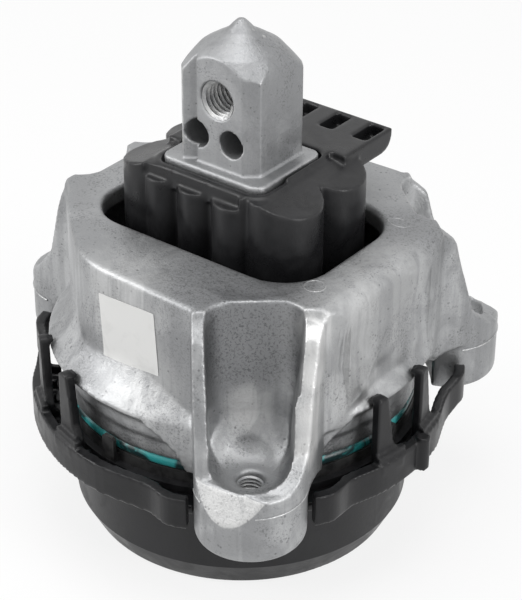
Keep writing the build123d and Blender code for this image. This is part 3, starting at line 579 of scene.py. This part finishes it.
def cast_aluminium(
    name, dark, mid, bright, grain_scale, metallic, top_stain, streak_share,
    rubbed_and_highlit=(), stained_and_shaded=(), facets=(),
):
    """Bare cast metal: oxide blotches, flow streaks, specks, rubbed places and bright edges, with
    painted highlights on some places and on the ears' facets, and painted shade in hollows and in one
    stained place.
    """
    material, tree, shader, bump = new_material(name, metallic, 0.6, 0.34)
    grain = place_group(tree, GRAIN, Scale=grain_scale)
    wear_and_shade = place_group(tree, WEAR_AND_SHADE, Low=0.515, High=0.575, Break=260.0)
    oxide = place_group(tree, MOTTLE, Scale=42.0, Low=0.36, High=0.64).outputs["Blotches"]
    specks = place_group(tree, MOTTLE, Scale=1500.0, Low=0.50, High=0.62).outputs["Blotches"]
    flecks = place_group(tree, MOTTLE, Scale=70.0, Low=0.47, High=0.60).outputs["Blotches"]
    streaks = place_group(tree, STREAKS, Scale=150.0).outputs["Streaks"]
    soot_and_shade = tuple(0.45 * part for part in dark)

    def both(first, second):
        return maths(tree, "MULTIPLY", first, second)

    upward = ramp(tree, face_direction(tree)["Z"], 0.75, 0.97)
    walls = maths(tree, "SUBTRACT", 1.0, upward)
    colour = blend_colour(tree, dark, mid, ramp(tree, oxide, 0.0, 1.0, 0.4, 1.0))
    colour = blend_colour(tree, colour, dark, both(both(streaks, walls), streak_share))
    colour = blend_colour(tree, colour, dark, both(both(upward, oxide), top_stain))
    specked = ramp(tree, flecks, 0.0, 1.0, 0.10, 0.5)
    # Stains, and painted shade where a place lies in a recess
    for spot, inner, outer, share in stained_and_shaded:
        stain_and_shade = both(near_place(tree, spot, inner, outer), share)
        colour = blend_colour(tree, colour, dark, stain_and_shade)
        specked = maths(tree, "MAXIMUM", specked, stain_and_shade)
    colour = blend_colour(tree, colour, soot_and_shade, both(specks, specked))
    # Rubbed places and painted highlights, made lighter
    for spot, inner, outer, share in rubbed_and_highlit:
        lit = both(near_place(tree, spot, inner, outer), share)
        lit = both(lit, ramp(tree, streaks, 0.0, 1.0, 1.0, 0.45))
        colour = blend_colour(tree, colour, bright, lit)
    # The facets are painted lighter: partly their machined face, partly a painted highlight
    for spot, direction in facets:
        near = near_place(tree, spot, FACET_INNER, FACET_OUTER)
        face = both(near, facing(tree, direction, 0.93, 0.98))
        colour = blend_colour(tree, colour, bright, both(face, ramp(tree, flecks, 0.0, 1.0, 0.72, 0.50)))
        colour = blend_colour(tree, colour, dark, both(both(face, specks), 0.30))
    colour = blend_colour(tree, colour, soot_and_shade, both(grain.outputs["Pits"], 0.6))
    # Painted shade in the hollows
    colour = blend_colour(tree, colour, soot_and_shade, both(wear_and_shade.outputs["Hollow_Shade"], 0.6))
    colour = blend_colour(tree, colour, bright, both(wear_and_shade.outputs["Edges"], 0.55))
    join(tree, colour, shader.inputs["Base Color"])
    rough = ramp(tree, oxide, 0.0, 1.0, 0.40, 0.52)
    rough = maths(tree, "SUBTRACT", rough, both(wear_and_shade.outputs["Edges"], 0.08))
    join(tree, rough, shader.inputs["Roughness"])
    join(tree, grain.outputs["Height"], bump.inputs["Height"])
    return material


def moulded_black(name, skin, worn, dust_colour, dust_amount, grain_scale, rough):
    """Black rubber or plastic with lighter rubbed edges and some dust."""
    material, tree, shader, bump = new_material(name, 0.0, 0.35, 0.15)
    shader.inputs["Specular IOR Level"].default_value = 0.32
    grain = place_group(tree, GRAIN, Scale=grain_scale)
    wear_and_shade = place_group(tree, WEAR_AND_SHADE, Low=0.53, High=0.62, Break=300.0)
    dust = place_group(tree, DUST, Scale=160.0, Amount=dust_amount)
    cloud = place_group(tree, MOTTLE, Scale=70.0, Low=0.35, High=0.7)
    colour = blend_colour(tree, skin, worn, maths(tree, "MULTIPLY", cloud.outputs["Blotches"], 0.35))
    colour = blend_colour(tree, colour, worn, maths(tree, "MULTIPLY", wear_and_shade.outputs["Edges"], 0.8))
    colour = blend_colour(tree, colour, dust_colour, dust.outputs["Dust"])
    join(tree, colour, shader.inputs["Base Color"])
    sheen = ramp(tree, cloud.outputs["Blotches"], 0.0, 1.0, rough - 0.07, rough + 0.09)
    join(tree, sheen, shader.inputs["Roughness"])
    join(tree, grain.outputs["Height"], bump.inputs["Height"])
    return material


def greasy_seal(name, clean, grime):
    """Turquoise rubber, partly under dark grease."""
    material, tree, shader, bump = new_material(name, 0.0, 0.3, 0.15)
    grain = place_group(tree, GRAIN, Scale=500.0)
    smear = place_group(tree, MOTTLE, Scale=95.0, Low=0.42, High=0.56)
    dust = place_group(tree, DUST, Scale=260.0, Amount=0.35)
    colour = blend_colour(tree, clean, grime, smear.outputs["Blotches"])
    colour = blend_colour(tree, colour, (0.30, 0.46, 0.46), dust.outputs["Dust"])
    join(tree, colour, shader.inputs["Base Color"])
    join(tree, ramp(tree, smear.outputs["Blotches"], 0.0, 1.0, 0.42, 0.3), shader.inputs["Roughness"])
    join(tree, grain.outputs["Height"], bump.inputs["Height"])
    return material


def label_paper(name):
    """Blank coated paper, slightly soiled."""
    material, tree, shader, bump = new_material(name, 0.0, 0.15, 0.05)
    grain = place_group(tree, GRAIN, Scale=900.0)
    dirt = place_group(tree, MOTTLE, Scale=140.0, Low=0.5, High=0.75)
    soiled = maths(tree, "MULTIPLY", dirt.outputs["Blotches"], 0.4)
    colour = blend_colour(tree, (0.66, 0.66, 0.65), (0.50, 0.50, 0.49), soiled)
    join(tree, colour, shader.inputs["Base Color"])
    shader.inputs["Roughness"].default_value = 0.38
    join(tree, grain.outputs["Height"], bump.inputs["Height"])
    return material


# Pieces


def cut_block(piece, angle, low, high):
    """Takes a block out of the piece: its corners along and across an ear's direction, and up."""
    middle = [(a + b) / 2 * MM for a, b in zip(low, high)]
    bpy.ops.mesh.primitive_cube_add(
        size=1.0, location=ear_place(angle, *middle), rotation=(0.0, 0.0, radians(angle))
    )
    block = bpy.context.object
    block.scale = [(b - a) * MM for a, b in zip(low, high)]
    settle(block)
    apply_modifier(piece, "BOOLEAN", operation="DIFFERENCE", solver="EXACT", object=block)
    bpy.data.objects.remove(block)


def build_housing():
    """The casting with stepped ribs, waves in its flat side and dimples in its plate."""
    piece = merged_copy("housing", "housing_casting")
    for _, angle, _, mouth, narrow in EARS:
        if narrow:
            across = sorted(narrow * side for side in NOTCH_ACROSS)
            low = (NOTCH_ALONG[0], across[0], mouth + NOTCH_ABOVE[0])
            high = (NOTCH_ALONG[1], across[1], mouth + NOTCH_ABOVE[1])
            cut_block(piece, angle, low, high)
    soften(piece, voxel=0.62, rounds=8)
    apply_modifier(piece, "DECIMATE", ratio=0.46)
    for y, move in FLAT_SIDE_WAVES:
        for height in FLAT_SIDE_WAVE_HEIGHTS:
            push(piece, (FLAT_SIDE_X, y, height), FLAT_SIDE_WAVE_REACH, (move, 0.0, 0.0))
    for x, y in TOP_DIMPLES:
        push(piece, (x, y, PLATE_TOP), DIMPLE_REACH, (0.0, 0.0, -DIMPLE_DEPTH))
    bpy.ops.object.shade_smooth()
    return piece


def flash_spans(narrow):
    """Spans of angle round a boss, from its outermost line, that show a flash line."""
    if not narrow:
        near, far = FLASH_LEFT_EAR
        return [(-far, -near), (near, far)]
    wide = sorted(-narrow * end for end in FLASH_WIDE_FLANK)
    return [wide, sorted(narrow * end for end in FLASH_NARROW_FLANK)]


def build_flash_line(name, angle, height, spans):
    """Thin line left by the mould round an ear's boss, over the given spans of angle."""
    centre = Vector(ear_place(angle, EAR_REACH, 0.0, height))
    bpy.ops.mesh.primitive_torus_add(
        major_segments=180, minor_segments=8, major_radius=BOSS_RADIUS * MM,
        minor_radius=FLASH_RADIUS * MM, location=centre * MM,
    )
    piece = bpy.context.object
    piece.name = name
    settle(piece)
    select_only(piece)
    bpy.ops.object.mode_set(mode="EDIT")

    def outside(spot):
        from_ear = spot - centre
        around = (degrees(atan2(from_ear.y, from_ear.x)) - angle + 180.0) % 360.0 - 180.0
        return not any(start < around < end for start, end in spans)

    pick(piece, outside)
    bpy.ops.mesh.delete(type="VERT")
    bpy.ops.mesh.select_all(action="SELECT")
    bpy.ops.mesh.fill_holes(sides=8)
    bpy.ops.mesh.normals_make_consistent(inside=False)
    bpy.ops.object.mode_set(mode="OBJECT")
    bpy.ops.object.shade_smooth_by_angle(angle=radians(50))
    return piece


def build_core():
    piece = merged_copy("core", "core_casting")
    soften(piece, voxel=0.42, rounds=3)
    return piece


def build_rubber():
    """The rubber body in two: the part that shows above the housing is the finer one."""
    upper = merged_copy("rubber_spring", "rubber_body")
    lower = merged_copy("rubber_spring", "rubber_cone")
    for piece, keep_above in ((upper, True), (lower, False)):
        select_only(piece)
        bpy.ops.object.mode_set(mode="EDIT")
        bpy.ops.mesh.select_all(action="SELECT")
        bpy.ops.mesh.bisect(
            plane_co=(0.0, 0.0, RUBBER_SPLIT * MM),
            plane_no=(0.0, 0.0, 1.0),
            use_fill=True,
            clear_inner=keep_above,
            clear_outer=not keep_above,
        )
        bpy.ops.mesh.select_all(action="SELECT")
        bpy.ops.mesh.normals_make_consistent(inside=False)
        bpy.ops.object.mode_set(mode="OBJECT")
    soften(upper, voxel=0.55, rounds=4)
    soften(lower, voxel=1.0, rounds=2)
    return upper, lower


def build_ring():
    piece = merged_copy("retaining_ring", "clip_ring")
    soften(piece, voxel=0.5, rounds=2)
    return piece


def build_soft_part(node, name, voxel):
    """A rubber part with its edges rounded as moulded rubber's are."""
    piece = merged_copy(node, name)
    soften(piece, voxel, rounds=3)
    return piece


def build_thread(name, radius, depth, pitch, length, place, turn):
    """Helical ridge of a screw thread, standing on the wall of a bore."""
    bpy.ops.mesh.primitive_circle_add(
        vertices=3, radius=depth * MM, fill_type="NOTHING",
        location=((radius - depth * RIDGE_SINK) * MM, 0.0, 0.0), rotation=(pi / 2, -pi / 2, 0.0),
    )
    piece = bpy.context.object
    piece.name = name
    settle(piece)
    turns = int(length / pitch)
    apply_modifier(
        piece, "SCREW", axis="Z", angle=2 * pi, screw_offset=pitch * MM, iterations=turns,
        steps=THREAD_STEPS, render_steps=THREAD_STEPS, use_merge_vertices=False,
    )
    select_only(piece)
    bpy.ops.object.mode_set(mode="EDIT")
    bpy.ops.mesh.select_all(action="SELECT")
    bpy.ops.mesh.fill_holes(sides=3)
    bpy.ops.mesh.normals_make_consistent(inside=False)
    bpy.ops.object.mode_set(mode="OBJECT")
    bpy.ops.object.shade_smooth_by_angle(angle=radians(40))
    piece.rotation_euler = turn
    piece.location = [part * MM for part in place]
    settle(piece)
    return piece


def build_cast_mark(name, place, radius, squash):
    """Small raised ring on the top plate."""
    centre = [part * MM for part in (*place, PLATE_TOP - MARK_SINK)]
    bpy.ops.mesh.primitive_torus_add(
        major_segments=48, minor_segments=10, major_radius=radius * MM,
        minor_radius=MARK_BEAD * MM, location=centre,
    )
    piece = bpy.context.object
    piece.name = name
    bpy.ops.object.mode_set(mode="EDIT")
    bpy.ops.mesh.select_all(action="SELECT")
    bpy.ops.transform.resize(value=(1.0, squash, MARK_FLATNESS), center_override=centre)
    bpy.ops.object.mode_set(mode="OBJECT")
    bpy.ops.object.shade_smooth()
    settle(piece)
    return piece


def build_label(casting):
    """Blank label that follows the front wall's curve."""
    bpy.ops.mesh.primitive_plane_add(size=1.0, location=[part * MM for part in LABEL_PLACE])
    piece = bpy.context.object
    piece.name = "blank_label"
    bpy.ops.object.mode_set(mode="EDIT")
    bpy.ops.mesh.subdivide(number_cuts=24)
    bpy.ops.object.mode_set(mode="OBJECT")
    piece.scale = (LABEL_WIDTH * MM, LABEL_HEIGHT * MM, 1.0)
    piece.rotation_euler = (radians(90), radians(LABEL_ROLL), radians(LABEL_TURN))
    settle(piece)
    apply_modifier(
        piece, "SHRINKWRAP", target=casting, wrap_method="NEAREST_SURFACEPOINT",
        wrap_mode="ABOVE_SURFACE", offset=LABEL_LIFT * MM,
    )
    apply_modifier(piece, "SMOOTH", factor=0.5, iterations=6)
    apply_modifier(piece, "SOLIDIFY", thickness=LABEL_THICKNESS * MM, offset=0.0)
    bpy.ops.object.shade_smooth_by_angle(angle=radians(40))
    return piece


place_camera()
place_lamps()
shade_world()
lay_floor()
bpy.context.scene.view_settings.view_transform = "Standard"

# Finishes

# The middle of each rim facet, and the way it looks; the facet is painted lighter, partly as machined
# metal and partly as a painted highlight
FACETS = [
    (
        ear_place(angle, FACET_REACH, narrow * FACET_SIDE, mouth - FACET_DROP),
        facet_looks(angle, narrow),
    )
    for _, angle, _, mouth, narrow in EARS
    if narrow
]
die_casting = cast_aluminium(
    "die_cast_housing",
    dark=(0.21, 0.214, 0.22), mid=(0.43, 0.435, 0.44), bright=(0.64, 0.64, 0.635),
    grain_scale=620.0, metallic=0.88, top_stain=0.45, streak_share=0.4,
    rubbed_and_highlit=RUBBED_AND_HIGHLIT_PLACES, stained_and_shaded=STAINED_AND_SHADED_PLACES, facets=FACETS,
)
core_finish = cast_aluminium(
    "cast_core",
    dark=(0.22, 0.224, 0.23), mid=(0.35, 0.354, 0.36), bright=(0.62, 0.62, 0.61),
    grain_scale=900.0, metallic=0.85, top_stain=0.1, streak_share=0.25,
)
insert_steel = cast_aluminium(
    "pressed_steel",
    dark=(0.05, 0.05, 0.05), mid=(0.20, 0.20, 0.20), bright=(0.45, 0.45, 0.45),
    grain_scale=400.0, metallic=0.7, top_stain=0.2, streak_share=0.1,
)
spring_rubber = moulded_black(
    "spring_rubber_skin",
    skin=(0.010, 0.010, 0.011), worn=(0.032, 0.032, 0.034), dust_colour=(0.050, 0.050, 0.050),
    dust_amount=0.22, grain_scale=700.0, rough=0.34,
)
ring_plastic = moulded_black(
    "ring_plastic_skin",
    skin=(0.005, 0.005, 0.006), worn=(0.018, 0.018, 0.019), dust_colour=(0.045, 0.045, 0.045),
    dust_amount=0.2, grain_scale=800.0, rough=0.36,
)
can_plastic = moulded_black(
    "can_plastic_skin",
    skin=(0.010, 0.010, 0.011), worn=(0.028, 0.028, 0.030), dust_colour=(0.07, 0.07, 0.07),
    dust_amount=0.12, grain_scale=700.0, rough=0.40,
)
inner_plastic = moulded_black(
    "track_plastic_skin",
    skin=(0.012, 0.012, 0.013), worn=(0.05, 0.05, 0.05), dust_colour=(0.10, 0.10, 0.09),
    dust_amount=0.5, grain_scale=500.0, rough=0.4,
)
seal_rubber = greasy_seal("turquoise_seal", clean=(0.035, 0.36, 0.36), grime=(0.012, 0.03, 0.032))
label_white = label_paper("label_paper")

# The mount's pieces

housing_casting = build_housing()
finish_piece(housing_casting, die_casting, "die_cast_aluminium", "housing")
core_block = build_core()
finish_piece(core_block, core_finish, "core_aluminium", "core")
rubber_body, rubber_cone = build_rubber()
finish_piece(rubber_body, spring_rubber, "spring_rubber", "rubber_spring")
finish_piece(rubber_cone, spring_rubber, "spring_rubber")
clip_ring = build_ring()
finish_piece(clip_ring, ring_plastic, "ring_plastic", "retaining_ring")

seal_ring = build_soft_part("seal", "seal_ring", 0.5)
finish_piece(seal_ring, seal_rubber, "seal_rubber", "seal")
decoupler_disc = build_soft_part("decoupler", "decoupler_disc", 0.6)
finish_piece(decoupler_disc, spring_rubber, "membrane_rubber", "decoupler")
bellows_skin = build_soft_part("bellows", "bellows_skin", 0.7)
finish_piece(bellows_skin, spring_rubber, "membrane_rubber", "bellows")

core_thread = build_thread(
    "core_thread", *CORE_THREAD, CORE_THREAD_LENGTH, CORE_THREAD_PLACE, (pi / 2, 0.0, 0.0)
)
finish_piece(core_thread, core_finish, "core_aluminium")
for ear_name, ear_angle, foot, mouth, narrow in EARS:
    ear_thread = build_thread(
        "ear_thread_" + ear_name, *EAR_THREAD, mouth - foot - EAR_THREAD_SHORTER,
        ear_place(ear_angle, EAR_REACH, 0.0, foot + EAR_THREAD_RISE), (0.0, 0.0, 0.0),
    )
    finish_piece(ear_thread, die_casting, "die_cast_aluminium")
    flash_line = build_flash_line(
        "flash_line_" + ear_name, ear_angle, mouth - FLASH_DROP, flash_spans(narrow)
    )
    finish_piece(flash_line, die_casting, "die_cast_aluminium")

for mark in CAST_MARKS:
    finish_piece(build_cast_mark(*mark), die_casting, "die_cast_aluminium")

blank_label = build_label(housing_casting)
finish_piece(blank_label, label_white, None)


def dress_node(node, material):
    """Gives a CAD node that shows as it is its finish."""
    mesh = frame["nodes"][node].data
    mesh.materials.clear()
    mesh.materials.append(material)


NODE_FINISHES = {
    "base_can": can_plastic,
    "track_upper": inner_plastic,
    "track_lower": inner_plastic,
    "bellows_clamp_ring": insert_steel,
    "spring_insert": insert_steel,
}
for node_name, finish in NODE_FINISHES.items():
    dress_node(node_name, finish)
